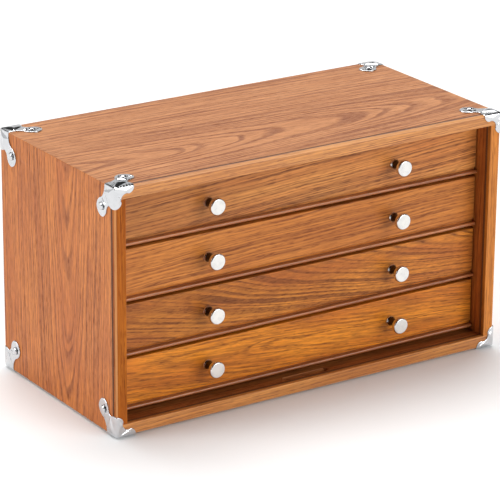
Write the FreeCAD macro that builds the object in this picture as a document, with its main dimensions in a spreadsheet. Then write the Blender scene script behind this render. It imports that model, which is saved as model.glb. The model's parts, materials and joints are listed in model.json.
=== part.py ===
import FreeCAD, Part
import math
import os
import Sketcher
from FreeCAD import Rotation, Vector

# A table-top type case: a mitred wooden case with metal corners and four full-width drawers.
#
# Frame: X runs along the width, +Y points from the drawer fronts to the back, +Z is up.
# The origin is on the surface the case stands on, under the middle of the case.
# All lengths are millimetres.  Every driving dimension is a cell of the Sizes sheet.

DRIVING_SIZES = [
    ("case_width", 378, "outside width of the wooden case"),
    ("case_depth", 184, "outside depth of the wooden case"),
    ("case_height", 210, "outside height of the wooden case"),
    ("board", 10, "thickness of the case panels"),
    ("edge_depth", 5, "front-to-back depth of the solid edge strips"),
    ("edge_round", 1.6, "rounding of the outer arrises of the edge strips"),
    ("joint_bevel", 0.4, "bevel where a panel meets its edge strip"),
    ("back_board", 6, "thickness of the back panel"),
    ("rebate", 5, "width of the rebate that holds the back panel"),
    ("slot_length", 46, "length of the cover slot in the bottom panel"),
    ("slot_width", 6, "width of the cover slot"),
    ("slot_depth", 5, "depth of the cover slot"),
    ("slot_inset", 11, "distance from the front of the case to the middle of the cover slot"),
    ("recess", 18, "distance from the front of the case to the drawer fronts"),
    ("drawer_count", 4, "number of drawers"),
    ("drawer_pitch", 46.7, "height from one drawer to the next"),
    ("drawer_height", 43.4, "height of a drawer front with its bead"),
    ("drawer_lift", 3.6, "gap between the bottom panel and the lowest drawer"),
    ("drawer_gap", 1, "gap between a drawer and the case at each side"),
    ("drawer_length", 158, "drawer front face to the back end of the drawer sides"),
    ("front_board", 10, "thickness of a drawer front"),
    ("front_rebate", 5, "depth of the rebates in a drawer front"),
    ("bead_height", 3, "height of the half-round bead under a drawer front"),
    ("bead_reach", 2.5, "how far the bead stands out of the drawer front"),
    ("quirk_depth", 1.8, "depth of the groove above the bead"),
    ("quirk_height", 2.1, "height of the groove above the bead"),
    ("side_board", 10, "thickness of a drawer side"),
    ("side_height", 40, "height of a drawer side"),
    ("rear_board", 8, "thickness of a drawer back"),
    ("rear_rebate", 3, "depth of the rebate that holds the drawer back"),
    ("base_board", 3, "thickness of a drawer bottom"),
    ("base_lift", 4, "height of the drawer bottom above the lower edge of the sides"),
    ("base_groove", 4, "depth of the groove that holds the drawer bottom"),
    ("runner_height", 7, "height of a drawer runner"),
    ("runner_reach", 5, "how far a runner stands out of the case side"),
    ("runner_lift", 16, "height of the runner groove above the lower edge of a drawer"),
    ("runner_play", 0.3, "clearance on each face of a runner"),
    ("divider_board", 2.5, "thickness of a type divider"),
    ("divider_height", 26, "height of a type divider"),
    ("divider_housing", 2, "depth of the housings that hold the dividers"),
    ("divider_play", 0.1, "clearance on each face of a divider"),
    ("divider_count", 3, "dividers in each drawer"),
    ("knob_spacing", 184, "distance between the two knobs of a drawer"),
    ("knob_lift", 23, "height of the knobs above the lower edge of a drawer"),
    ("knob_reach", 16.3, "how far a knob stands out of the drawer front"),
    ("knob_radius", 7, "radius of a knob's head"),
    ("knob_head", 4.2, "thickness of a knob's head"),
    ("knob_neck", 2.9, "radius of a knob's neck"),
    ("knob_foot", 4.2, "radius of a knob's foot"),
    ("knob_foot_height", 2.2, "height of a knob's foot"),
    ("knob_screw_radius", 1.9, "radius of a knob screw's shank"),
    ("knob_screw_grip", 7, "length of a knob screw inside the knob"),
    ("knob_screw_head", 3.6, "radius of a knob screw's head"),
    ("knob_screw_head_height", 2.2, "height of a knob screw's head"),
    ("hole_play", 0.15, "radial clearance of a screw in a clearance hole"),
    ("grip_play", 0.03, "radial clearance of a screw or nail in the hole it grips"),
    ("gauge", 1.5, "thickness of the metal corners"),
    ("corner_round", 3, "outer rounding of the metal corners"),
    ("corner_block", 34, "size of the block that a metal corner is trimmed from"),
    ("nail_inset", 19, "distance from both edges of the case to a corner nail"),
    ("nail_radius", 1.3, "radius of a corner nail's shank"),
    ("nail_length", 9, "length of a corner nail under its head"),
    ("nail_head", 3.3, "radius of a corner nail's domed head"),
    ("nail_dome", 1.4, "height of a corner nail's dome"),
    ("nail_sink", 1.2, "depth of a corner nail's countersunk head"),
    ("screw_radius", 1.2, "radius of the shanks of the small wood screws"),
    ("screw_head", 2.3, "radius of the countersunk heads of the small wood screws"),
    ("screw_length", 12, "length of the small wood screws"),
]

doc = FreeCAD.newDocument("type_case")
sheet = doc.addObject("Spreadsheet::Sheet", "Sizes")
parts = []                  # the objects that become files, in order


class Size:
    """A length that carries its spreadsheet expression beside its value."""

    def __init__(self, text, value):
        self.text = text
        self.value = float(value)

    def __add__(self, other):
        other = as_size(other)
        return Size(f"({self.text} + {other.text})", self.value + other.value)

    def __sub__(self, other):
        other = as_size(other)
        return Size(f"({self.text} - {other.text})", self.value - other.value)

    def __mul__(self, other):
        other = as_size(other)
        return Size(f"({self.text} * {other.text})", self.value * other.value)

    def __truediv__(self, other):
        other = as_size(other)
        return Size(f"({self.text} / {other.text})", self.value / other.value)

    def __rsub__(self, other):
        return as_size(other) - self

    def __neg__(self):
        return Size(f"(0 - {self.text})", -self.value)

    __radd__ = __add__
    __rmul__ = __mul__


def as_size(number):
    return number if isinstance(number, Size) else Size(f"{number:.6g}", number)


def fill_sheet():
    """Write every driving size as plain text, give it an alias, and return the sizes by alias."""
    sizes = {}
    for row, (alias, value, meaning) in enumerate(DRIVING_SIZES, start=1):
        sheet.set(f"A{row}", meaning)
        sheet.set(f"B{row}", str(value))
        sheet.setAlias(f"B{row}", alias)
        sizes[alias] = Size(f"Sizes.{alias}", value)
    doc.recompute()
    return sizes


S = fill_sheet()


# ---------------------------------------------------------------- general helpers

def bind(thing, name, size):
    """Set a property, and tie it to the sheet."""
    size = as_size(size)
    if "." not in name:
        setattr(thing, name, size.value)
    thing.setExpression(name, size.text)


def place(thing, x, y, z, turn=None):
    """Give an object its Placement, with the three coordinates tied to the sheet."""
    x, y, z = as_size(x), as_size(y), as_size(z)
    thing.Placement = FreeCAD.Placement(Vector(x.value, y.value, z.value), turn or Rotation())
    for axis, size in zip("xyz", (x, y, z)):
        thing.setExpression(f"Placement.Base.{axis}", size.text)


def keep(thing, label):
    """Name a finished sub-part, so that it is written to its own file."""
    thing.Label = label
    parts.append(thing)
    return thing


def box(name, corner, size):
    """A block from its lowest corner and its three lengths."""
    block = doc.addObject("Part::Box", name)
    for prop, length in zip(("Length", "Width", "Height"), size):
        bind(block, prop, length)
    place(block, *corner)
    return block


def cylinder(name, centre, radius, length, turn=None):
    """A cylinder that starts at centre and runs along Z, or along the way turn leads Z."""
    rod = doc.addObject("Part::Cylinder", name)
    bind(rod, "Radius", radius)
    bind(rod, "Height", length)
    place(rod, *centre, turn)
    return rod


def cone(name, centre, start, end, length, turn=None):
    """A cone frustum that starts at centre with one radius and ends with the other."""
    tip = doc.addObject("Part::Cone", name)
    bind(tip, "Radius1", start)
    bind(tip, "Radius2", end)
    bind(tip, "Height", length)
    place(tip, *centre, turn)
    return tip


def fuse(name, shapes):
    joined = doc.addObject("Part::MultiFuse", name)
    joined.Shapes = shapes
    return joined


def cut(name, base, tools):
    """base with every tool taken away."""
    tool = tools[0] if len(tools) == 1 else fuse(f"{name}_tools", tools)
    carved = doc.addObject("Part::Cut", name)
    carved.Base = base
    carved.Tool = tool
    return carved


def group(name, solids):
    """Several separate solids as one sub-part."""
    bundle = doc.addObject("Part::Compound", name)
    bundle.Links = solids
    return bundle


def new_body(label):
    return keep(doc.addObject("PartDesign::Body", label), label)


def origin_plane(body, role):
    return next(o for o in body.Origin.OriginFeatures if o.Role == role)


def attach(body, sketch, role, offset=0):
    sketch.AttachmentSupport = (origin_plane(body, role), [""])
    sketch.MapMode = "FlatFace"
    sketch.AttachmentOffset.Base.z = as_size(offset).value
    sketch.setExpression("AttachmentOffset.Base.z", as_size(offset).text)


def pin_point(sketch, geometry, point, x, y):
    """Hold one point of a sketch at x, y from the sketch's origin."""
    for kind, size in (("DistanceX", x), ("DistanceY", y)):
        size = as_size(size)
        index = sketch.addConstraint(
            Sketcher.Constraint(kind, -1, 1, geometry, point, size.value))
        sketch.setExpression(f"Constraints[{index}]", size.text)


def outline(body, name, role, points, offset=0):
    """A closed outline of straight edges, every corner tied to the sheet."""
    sketch = body.newObject("Sketcher::SketchObject", name)
    attach(body, sketch, role, offset)
    flat = [Vector(as_size(x).value, as_size(y).value, 0) for x, y in points]
    for i, start in enumerate(flat):
        sketch.addGeometry(Part.LineSegment(start, flat[(i + 1) % len(flat)]), False)
    for i, (x, y) in enumerate(points):
        following = (i + 1) % len(points)
        sketch.addConstraint(Sketcher.Constraint("Coincident", i, 2, following, 1))
        pin_point(sketch, i, 1, x, y)
    return sketch


def circles(body, name, role, centres, radius, offset=0):
    """Equal circles, their centres and radius tied to the sheet."""
    radius = as_size(radius)
    sketch = body.newObject("Sketcher::SketchObject", name)
    attach(body, sketch, role, offset)
    for x, y in centres:
        middle = Vector(as_size(x).value, as_size(y).value, 0)
        ring = sketch.addGeometry(Part.Circle(middle, Vector(0, 0, 1), radius.value), False)
        pin_point(sketch, ring, 3, x, y)
        index = sketch.addConstraint(Sketcher.Constraint("Radius", ring, radius.value))
        sketch.setExpression(f"Constraints[{index}]", radius.text)
    return sketch


def pad(body, sketch, length, reverse=False):
    feature = body.newObject("PartDesign::Pad", f"{sketch.Name}_pad")
    feature.Profile = sketch
    bind(feature, "Length", length)
    feature.Reversed = reverse
    doc.recompute()
    return feature


def pocket(body, sketch, depth, reverse=False):
    """Cut a pocket, and make sure that it really removed wood."""
    before = body.Shape.Volume
    feature = body.newObject("PartDesign::Pocket", f"{sketch.Name}_pocket")
    feature.Profile = sketch
    bind(feature, "Length", depth)
    feature.Reversed = reverse
    doc.recompute()
    if body.Shape.Volume > before - 0.1:
        raise RuntimeError(f"{sketch.Name} cut nothing from {body.Label}")
    return feature


def dress(body, kind, size, test):
    """A Fillet or Chamfer on the edges of a body that pass the test."""
    base = body.Tip
    names = [f"Edge{i}" for i, e in enumerate(base.Shape.Edges, start=1) if test(e)]
    if not names:
        raise RuntimeError(f"no edge to dress on {body.Label}")
    feature = body.newObject(f"PartDesign::{kind}", f"{body.Name}_{kind.lower()}")
    feature.Base = (base, names)
    bind(feature, "Radius" if kind == "Fillet" else "Size", size)
    doc.recompute()
    return feature


def edge_along(axis, **where):
    """A test for straight edges that run along an axis and lie at the stated coordinates."""
    def test(edge):
        box_ = edge.BoundBox
        low = dict(x=box_.XMin, y=box_.YMin, z=box_.ZMin)
        high = dict(x=box_.XMax, y=box_.YMax, z=box_.ZMax)
        if high[axis] - low[axis] < 1.0:
            return False
        return all(abs(low[a] - v) < 1e-3 and abs(high[a] - v) < 1e-3 for a, v in where.items())
    return test


def rim_at(y):
    """A test for circular edges that lie in the plane of the stated y."""
    def test(edge):
        flat = abs(edge.BoundBox.YMin - y) < 1e-3 and abs(edge.BoundBox.YMax - y) < 1e-3
        return flat and isinstance(edge.Curve, Part.Circle)
    return test


# ---------------------------------------------------------------- derived sizes

W, D, H, T = S["case_width"], S["case_depth"], S["case_height"], S["board"]
foot = S["gauge"]                                   # the case stands on its metal corners
case_front = -D / 2
inner_width = W - 2 * T
panel_depth = D - S["edge_depth"]
drawer_width = inner_width - 2 * S["drawer_gap"]
drawer_front_y = case_front + S["recess"]
channel = S["runner_height"] + 2 * S["runner_play"]
channel_depth = S["runner_reach"] - S["drawer_gap"] + S["runner_play"]
screw_sink = S["screw_head"] - S["screw_radius"]    # the heads have a right-angled cone
COUNT = int(S["drawer_count"].value)


def drawer_z(number):
    """Lower edge of a drawer.  Drawer 1 is the top one."""
    return foot + T + S["drawer_lift"] + S["drawer_pitch"] * (COUNT - number)


# ---------------------------------------------------------------- case panels

TURN_TO_Y = Rotation(Vector(1, 0, 0), -90)          # leads Z to +Y
TURN_TO_FRONT = Rotation(Vector(1, 0, 0), 90)       # leads Z to -Y
TURN_TO_X = Rotation(Vector(0, 1, 0), 90)           # leads Z to +X
TURN_TO_LEFT = Rotation(Vector(0, 1, 0), -90)       # leads Z to -X


def nail_spots(length):
    """Where the corner nails of a panel are: along it, and from its back end towards the front."""
    inset = S["nail_inset"]
    return [(a, b) for a in (inset, length - inset) for b in (-inset, inset - D)]


def back_grips(body, label, spots):
    """The holes that a panel's share of the back screws bite into, in the floor of its rebate."""
    holes = circles(body, f"{label}_back_grips", "XZ_Plane", spots,
                    S["screw_radius"] + S["grip_play"], S["back_board"])
    pocket(body, holes, S["screw_length"] - S["back_board"] + S["grip_play"], True)


def flat_panel(label, z, upside_down):
    """The top or bottom panel: mitred ends, a rebate for the back, and holes for the nails."""
    body = new_body(label)
    inner, outer = (T, as_size(0)) if upside_down else (as_size(0), T)
    ledge = T - S["rebate"] if upside_down else S["rebate"]
    profile = [(0, outer), (W, outer), (W - T, inner), (T, inner)]
    pad(body, outline(body, f"{label}_profile", "XZ_Plane", profile), panel_depth)
    ends = (T - S["rebate"], W - T + S["rebate"])
    rebate = [(ends[0], inner), (ends[1], inner), (ends[1], ledge), (ends[0], ledge)]
    pocket(body, outline(body, f"{label}_rebate", "XZ_Plane", rebate), S["back_board"], True)
    holes = circles(body, f"{label}_nails", "XY_Plane", nail_spots(W),
                    S["nail_radius"] + S["grip_play"], outer)
    pocket(body, holes, S["nail_length"] - S["gauge"] + S["grip_play"], upside_down)
    middle = T - S["rebate"] / 2 if upside_down else S["rebate"] / 2
    back_grips(body, label, [(x + W / 2, middle) for x in back_screw_xs()])
    dress(body, "Chamfer", S["joint_bevel"],
          edge_along("x", y=-panel_depth.value, z=outer.value))
    place(body, -W / 2, D / 2, z)
    return body


def cover_slot(body):
    """The round-ended slot for a front cover, in the upper face of the bottom panel."""
    half = (S["slot_length"] - S["slot_width"]) / 2
    y = S["slot_inset"] - D
    middle = [(W / 2 - half, y - S["slot_width"] / 2), (W / 2 + half, y - S["slot_width"] / 2),
              (W / 2 + half, y + S["slot_width"] / 2), (W / 2 - half, y + S["slot_width"] / 2)]
    pocket(body, outline(body, "slot_middle", "XY_Plane", middle, T), S["slot_depth"])
    for i, x in enumerate((W / 2 - half, W / 2 + half)):
        end = circles(body, f"slot_end_{i}", "XY_Plane", [(x, y)], S["slot_width"] / 2, T)
        pocket(body, end, S["slot_depth"])


def side_panel(label, x, faces_right):
    """The left or right panel: mitred ends, a rebate, and holes for nails and runner screws."""
    body = new_body(label)
    inner, outer = (as_size(0), T) if faces_right else (T, as_size(0))
    ledge = S["rebate"] if faces_right else T - S["rebate"]
    profile = [(outer, 0), (outer, H), (inner, H - T), (inner, T)]
    pad(body, outline(body, f"{label}_profile", "XZ_Plane", profile), panel_depth)
    ends = (T - S["rebate"], H - T + S["rebate"])
    rebate = [(inner, ends[0]), (inner, ends[1]), (ledge, ends[1]), (ledge, ends[0])]
    pocket(body, outline(body, f"{label}_rebate", "XZ_Plane", rebate), S["back_board"], True)
    spots = [(y, z) for z, y in nail_spots(H)]
    holes = circles(body, f"{label}_nails", "YZ_Plane", spots,
                    S["nail_radius"] + S["grip_play"], outer)
    pocket(body, holes, S["nail_length"] - S["gauge"] + S["grip_play"], not faces_right)
    grips = circles(body, f"{label}_grips", "YZ_Plane",
                    [(y - D / 2, z - foot) for y, z in runner_screw_spots()],
                    S["screw_radius"] + S["grip_play"], inner)
    pocket(body, grips, S["screw_length"] - S["runner_reach"] + S["grip_play"], faces_right)
    middle = S["rebate"] / 2 if faces_right else T - S["rebate"] / 2
    back_grips(body, label, [(middle, z - foot) for z in back_screw_zs()])
    dress(body, "Chamfer", S["joint_bevel"],
          edge_along("z", y=-panel_depth.value, x=outer.value))
    place(body, x, D / 2, foot)
    return body


def back_panel():
    """The thin board in the rebates, with a countersunk hole for each of its screws."""
    body = new_body("back_panel")
    width, height = W - 2 * (T - S["rebate"]), H - 2 * (T - S["rebate"])
    face = [(0, 0), (width, 0), (width, height), (0, height)]
    pad(body, outline(body, "back_face", "XZ_Plane", face), S["back_board"])
    spots = [(x + width / 2, z - foot - T + S["rebate"]) for x, z in back_screw_spots()]
    holes = circles(body, "back_holes", "XZ_Plane", spots, S["screw_radius"] + S["hole_play"])
    pocket(body, holes, S["back_board"], True)
    dress(body, "Chamfer", screw_sink, rim_at(0.0))
    place(body, -width / 2, D / 2, foot + T - S["rebate"])
    return body


def edge_strip(label, corner, size, axis, **arris):
    """A solid wood strip glued to the front of the case, with its outer front arris rounded."""
    body = new_body(label)
    length, depth, height = size
    face = [(0, 0), (length, 0), (length, height), (0, height)]
    pad(body, outline(body, f"{label}_face", "XZ_Plane", face), depth)
    dress(body, "Fillet", S["edge_round"], edge_along(axis, y=-depth.value, **arris))
    place(body, corner[0], case_front + depth, corner[1])
    return body


# ---------------------------------------------------------------- screws and nails

def small_screw(name, head, turn):
    """A countersunk wood screw whose head starts at head and whose shank follows turn."""
    reach = turn.multVec(Vector(0, 0, 1))
    sunk = [c + screw_sink * float(round(r)) if abs(r) > 0.5 else c
            for c, r in zip(head, reach)]
    top = cone(f"{name}_head", head, S["screw_head"], S["screw_radius"], screw_sink, turn)
    shank = cylinder(f"{name}_shank", sunk, S["screw_radius"],
                     S["screw_length"] - screw_sink, turn)
    return fuse(name, [top, shank])


def back_screw_xs():
    """Where the back's screws are along the top and bottom panels."""
    return [-W / 5, W / 5]


def back_screw_zs():
    """Where the back's screws are up the side panels."""
    return [foot + H * part for part in (0.13, 0.5, 0.87)]


def back_screw_spots():
    """Centres of the back panel's screws, as x and z."""
    inset = T - S["rebate"] / 2
    sides = [(x, z) for x in (inset - W / 2, W / 2 - inset) for z in back_screw_zs()]
    ends = [(x, z) for x in back_screw_xs() for z in (foot + inset, foot + H - inset)]
    return sides + ends


def runner_screw_spots():
    """Centres of the runners' screws on each case side, as y and z."""
    start = drawer_front_y + S["front_board"] + S["runner_play"]
    end = drawer_front_y + S["drawer_length"]
    ys = (start + (end - start) / 6, end - (end - start) / 6)
    lift = S["runner_lift"] + channel / 2
    return [(y, drawer_z(n) + lift) for n in range(1, COUNT + 1) for y in ys]


def runners(side, direction):
    """The four hardwood runners of one side.  direction is +1 where they point to +X."""
    start = drawer_front_y + S["front_board"] + S["runner_play"]
    length = S["drawer_length"] - S["front_board"] - S["runner_play"]
    wall = -inner_width / 2 if direction > 0 else inner_width / 2
    left = wall if direction > 0 else wall - S["runner_reach"]
    face = wall + S["runner_reach"] * direction
    turn = TURN_TO_LEFT if direction > 0 else TURN_TO_X
    bars, spots = [], runner_screw_spots()
    for n in range(1, COUNT + 1):
        z = drawer_z(n) + S["runner_lift"] + S["runner_play"]
        bar = box(f"{side}_bar_{n}", (left, start, z),
                  (S["runner_reach"], length, S["runner_height"]))
        holes = []
        for k, (y, screw_z) in enumerate(spots[2 * n - 2:2 * n]):
            tag = f"{side}_bar_{n}_{k}"
            holes.append(cylinder(f"{tag}_hole", (face, y, screw_z),
                                  S["screw_radius"] + S["hole_play"], S["runner_reach"], turn))
            holes.append(cone(f"{tag}_sink", (face, y, screw_z), S["screw_head"] + S["hole_play"],
                              S["screw_radius"] + S["hole_play"], screw_sink, turn))
        bars.append(cut(f"{side}_runner_{n}", bar, holes))
    return keep(group(f"{side}_runners", bars), f"{side}_runners")


def runner_screws():
    screws = []
    for direction, turn in ((1, TURN_TO_LEFT), (-1, TURN_TO_X)):
        x = (-inner_width / 2 + S["runner_reach"]) * direction
        for i, (y, z) in enumerate(runner_screw_spots()):
            screws.append(small_screw(f"runner_screw_{'lr'[direction < 0]}{i}", (x, y, z), turn))
    return keep(group("runner_screw_set", screws), "runner_screws")


def back_screws():
    screws = [small_screw(f"back_screw_{i}", (x, D / 2, z), TURN_TO_FRONT)
              for i, (x, z) in enumerate(back_screw_spots())]
    return keep(group("back_screw_set", screws), "back_panel_screws")


# ---------------------------------------------------------------- metal corners

# A corner is drawn where x, y and z count from its own corner of the case into the wood.  Its two
# leaves lie on the faces x = 0 and z = 0, and its flange lies on y = 0.  An outline is a chain of
# arcs, each given by the points where it starts, passes and ends.
LEAF_OUTLINE = [
    ((0, 17.5), (4.2, 17.5), (7.4, 16.2)),
    ((7.4, 16.2), (10.2, 18.0), (12.0, 21.8)),
    ((12.0, 21.8), (14.2, 26.0), (18.4, 28.2)),
    ((18.4, 28.2), (24.6, 25.0), (26.6, 19.4)),
    ((26.6, 19.4), (24.2, 14.6), (19.4, 11.8)),
    ((19.4, 11.8), (15.8, 7.2), (14.6, 0)),
]
FLANGE_OUTLINE = [
    ((0, 17.5), (3.8, 16.4), (6.0, 12.6)),
    ((6.0, 12.6), (7.0, 7.0), (12.6, 6.0)),
    ((12.6, 6.0), (16.4, 3.8), (17.5, 0)),
]


def outline_plate(stretches, to_space, outward):
    """A plate over the case's face from an outline, closed outside the edges of the case."""
    gauge = S["gauge"].value
    arcs = [Part.Arc(*(to_space(u, v) for u, v in stretch)).toShape() for stretch in stretches]
    start, end = stretches[0][0], stretches[-1][2]
    rim = [end, (end[0], -gauge), (-gauge, -gauge), (-gauge, start[1]), start]
    lines = [Part.makeLine(to_space(*a), to_space(*b)) for a, b in zip(rim, rim[1:])]
    return Part.Face(Part.Wire(arcs + lines)).extrude(outward * gauge)


def corner_blank():
    """A block around the corner of the case, rounded outside and hollow where the wood is."""
    gauge, size = S["gauge"].value, S["corner_block"].value
    block = Part.makeBox(size, size, size, Vector(-gauge, -gauge, -gauge))
    outer = [e for e in block.Edges
             if sum(abs(v.X + gauge) < 1e-6 for v in e.Vertexes) // 2
             + sum(abs(v.Y + gauge) < 1e-6 for v in e.Vertexes) // 2
             + sum(abs(v.Z + gauge) < 1e-6 for v in e.Vertexes) // 2 == 2]
    rounded = block.makeFillet(S["corner_round"].value, outer)
    return rounded.cut(Part.makeBox(2 * size, 2 * size, 2 * size))


def corner_nail_places():
    """Where the two nails of a corner start, and which way they point."""
    gauge, nail = S["gauge"].value, S["nail_inset"].value
    return [(Vector(-gauge, nail, nail), Vector(1, 0, 0)),
            (Vector(nail, nail, -gauge), Vector(0, 0, 1))]


def corner_shape():
    """A cast corner: the blank, trimmed to its outlines and drilled for its nails."""
    side = outline_plate(LEAF_OUTLINE, lambda u, v: Vector(0, u, v), Vector(-1, 0, 0))
    flat = outline_plate(LEAF_OUTLINE, lambda u, v: Vector(v, u, 0), Vector(0, 0, -1))
    front = outline_plate(FLANGE_OUTLINE, lambda u, v: Vector(u, 0, v), Vector(0, -1, 0))
    metal = corner_blank().common(side.fuse([flat, front]))
    gauge, play = S["gauge"].value, S["grip_play"].value
    for start, inward in corner_nail_places():
        hole = Part.makeCylinder(S["nail_radius"].value + play, 2 * gauge, start, inward)
        sink = Part.makeCone(S["nail_head"].value + play, S["nail_radius"].value + play,
                             S["nail_sink"].value + play, start, inward)
        metal = metal.cut(hole.fuse(sink))
    return metal


def nail_shape(start, inward, domed):
    """A corner nail: a sunk head, a shank, and a dome where the head is shown."""
    head, shank, sink = S["nail_head"].value, S["nail_radius"].value, S["nail_sink"].value
    pieces = [Part.makeCone(head, shank, sink, start, inward),
              Part.makeCylinder(shank, S["nail_length"].value, start, inward)]
    if domed:
        dome = S["nail_dome"].value
        ball = (head ** 2 + dome ** 2) / (2 * dome)
        sphere = Part.makeSphere(ball, start + inward * (ball - dome))
        pieces.append(sphere.common(Part.makeCylinder(head, 2 * dome, start, inward * -1)))
    return pieces[0].fuse(pieces[1:]).removeSplitter()


def mirrored(shape, top, back, right):
    """A shape turned from the drawing of a corner to the hand of one of the eight corners."""
    for wanted, normal in ((top, Vector(0, 0, 1)), (back, Vector(0, 1, 0)),
                           (right, Vector(1, 0, 0))):
        if wanted:
            shape = shape.mirror(Vector(0, 0, 0), normal)
    return shape


def corner_place(top, back, right):
    """Where the case's own corner is."""
    return (W / 2 if right else -W / 2, D / 2 if back else -D / 2, foot + H if top else foot)


def metal_corners():
    """The eight corners, and the two nails of each."""
    master = corner_shape()
    side_place, flat_place = corner_nail_places()
    nails = []
    for top in (True, False):
        for back in (False, True):
            for right in (False, True):
                height, depth = "top" if top else "bottom", "back" if back else "front"
                label = f"corner_{height}_{depth}_{'right' if right else 'left'}"
                corner = doc.addObject("Part::Feature", label)
                corner.Shape = mirrored(master, top, back, right)
                place(corner, *corner_place(top, back, right))
                keep(corner, label)
                for spot, domed in ((side_place, True), (flat_place, top)):
                    nail = mirrored(nail_shape(*spot, domed), top, back, right)
                    nail.translate(Vector(*(c.value for c in corner_place(top, back, right))))
                    nails.append(nail)
    bundle = doc.addObject("Part::Feature", "corner_nail_set")
    bundle.Shape = Part.makeCompound(nails)
    bundle.Placement = FreeCAD.Placement()
    return keep(bundle, "corner_nails")


# ---------------------------------------------------------------- drawers

def drawer_front(n):
    """The front board: rebates for the sides and the bead, a groove for the bottom."""
    body = new_body(f"drawer_{n}_front")
    bead, depth = S["bead_height"], S["front_board"]
    quirk = S["quirk_depth"]
    step = bead + S["quirk_height"]
    base, groove = S["base_lift"], S["base_groove"]
    # The YZ plane shows the board from its right end: first number y, second number z.
    profile = [(S["front_rebate"], 0), (depth, 0), (depth, base), (depth - groove, base),
               (depth - groove, base + S["base_board"]), (depth, base + S["base_board"]),
               (depth, S["drawer_height"]), (0, S["drawer_height"]), (0, step + quirk / 3),
               (quirk, step), (quirk, bead), (S["front_rebate"], bead)]
    pad(body, outline(body, f"front_{n}_profile", "YZ_Plane", profile), drawer_width)
    high = S["drawer_height"]
    for i, x in enumerate((0, drawer_width - S["side_board"])):
        end = [(x, S["front_rebate"]), (x + S["side_board"], S["front_rebate"]),
               (x + S["side_board"], depth), (x, depth)]
        sketch = outline(body, f"front_{n}_end_{i}", "XY_Plane", end, high)
        pocket(body, sketch, high)
    dress(body, "Fillet", S["edge_round"] / 2, edge_along("x", y=0.0, z=high.value))
    spots = [(x + drawer_width / 2, S["knob_lift"]) for x in knob_xs()]
    holes = circles(body, f"front_{n}_holes", "XZ_Plane", spots,
                    S["knob_screw_radius"] + S["hole_play"])
    pocket(body, holes, depth)
    place(body, -drawer_width / 2, drawer_front_y, drawer_z(n))
    return body


def drawer_bead(n):
    """The half-round strip glued into the lower rebate of a drawer front."""
    radius = S["bead_height"] / 2
    bar = box(f"bead_{n}_bar", (-drawer_width / 2, drawer_front_y - S["bead_reach"] + radius,
                                drawer_z(n)),
              (drawer_width, S["bead_reach"] - radius + S["front_rebate"], S["bead_height"]))
    nose = cylinder(f"bead_{n}_nose",
                    (-drawer_width / 2, drawer_front_y - S["bead_reach"] + radius,
                     drawer_z(n) + radius), radius, drawer_width, TURN_TO_X)
    return keep(fuse(f"bead_{n}", [bar, nose]), f"drawer_{n}_bead")


def divider_ys():
    """Middle of each type divider, from the drawer's front face."""
    start, end = S["front_board"], S["drawer_length"] - S["rear_board"]
    gaps = S["divider_count"] + 1
    return [start + (end - start) * i / gaps for i in range(1, int(gaps.value))]


def drawer_side(n, side):
    """A side board: runner groove outside, bottom groove, divider housings and back rebate."""
    left = side == "left"
    t, z0 = S["side_board"], drawer_z(n)
    x0 = -drawer_width / 2 if left else drawer_width / 2 - t
    y0 = drawer_front_y + S["front_rebate"]
    length = S["drawer_length"] - S["front_rebate"]
    board = box(f"side_{side}_{n}_board", (x0, y0, z0), (t, length, S["side_height"]))
    outside = x0 if left else x0 + t - channel_depth
    tools = [box(f"side_{side}_{n}_channel",
                 (outside, drawer_front_y + S["front_board"], z0 + S["runner_lift"]),
                 (channel_depth, S["drawer_length"], channel))]

    def inner_cut(name, y, z, depth, width, height):
        x = x0 + t - depth if left else x0
        tools.append(box(f"side_{side}_{n}_{name}", (x, y, z), (depth, width, height)))

    inner_cut("base", y0, z0 + S["base_lift"], S["base_groove"], length, S["base_board"])
    rear = drawer_front_y + S["drawer_length"] - S["rear_board"]
    inner_cut("rear", rear, z0 + S["base_lift"], S["rear_rebate"], S["rear_board"],
              S["side_height"])
    housing = S["divider_board"] + 2 * S["divider_play"]
    for i, y in enumerate(divider_ys()):
        inner_cut(f"housing_{i}", drawer_front_y + y - housing / 2,
                  z0 + S["base_lift"] + S["base_board"], S["divider_housing"], housing,
                  S["side_height"])
    return keep(cut(f"side_{side}_{n}", board, tools), f"drawer_{n}_{side}_side")


def drawer_rear(n):
    width = drawer_width - 2 * (S["side_board"] - S["rear_rebate"])
    lift = S["base_lift"] + S["base_board"]
    rear = box(f"rear_{n}", (-width / 2, drawer_front_y + S["drawer_length"] - S["rear_board"],
                             drawer_z(n) + lift),
               (width, S["rear_board"], S["side_height"] - lift))
    return keep(rear, f"drawer_{n}_back")


def drawer_base(n):
    width = drawer_width - 2 * (S["side_board"] - S["base_groove"])
    start = S["front_board"] - S["base_groove"]
    board = box(f"base_{n}_board", (-width / 2, drawer_front_y + start,
                                    drawer_z(n) + S["base_lift"]),
                (width, S["drawer_length"] - start, S["base_board"]))
    return keep(board, f"drawer_{n}_bottom")


def dividers(n):
    """The loose dividers that part a drawer into channels for lines of type."""
    width = drawer_width - 2 * (S["side_board"] - S["divider_housing"] + S["divider_play"])
    z = drawer_z(n) + S["base_lift"] + S["base_board"]
    strips = [box(f"divider_{n}_{i}", (-width / 2, drawer_front_y + y - S["divider_board"] / 2, z),
                  (width, S["divider_board"], S["divider_height"]))
              for i, y in enumerate(divider_ys())]
    return keep(group(f"dividers_{n}", strips), f"drawer_{n}_dividers")


def knob_xs():
    return (-S["knob_spacing"] / 2, S["knob_spacing"] / 2)


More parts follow.
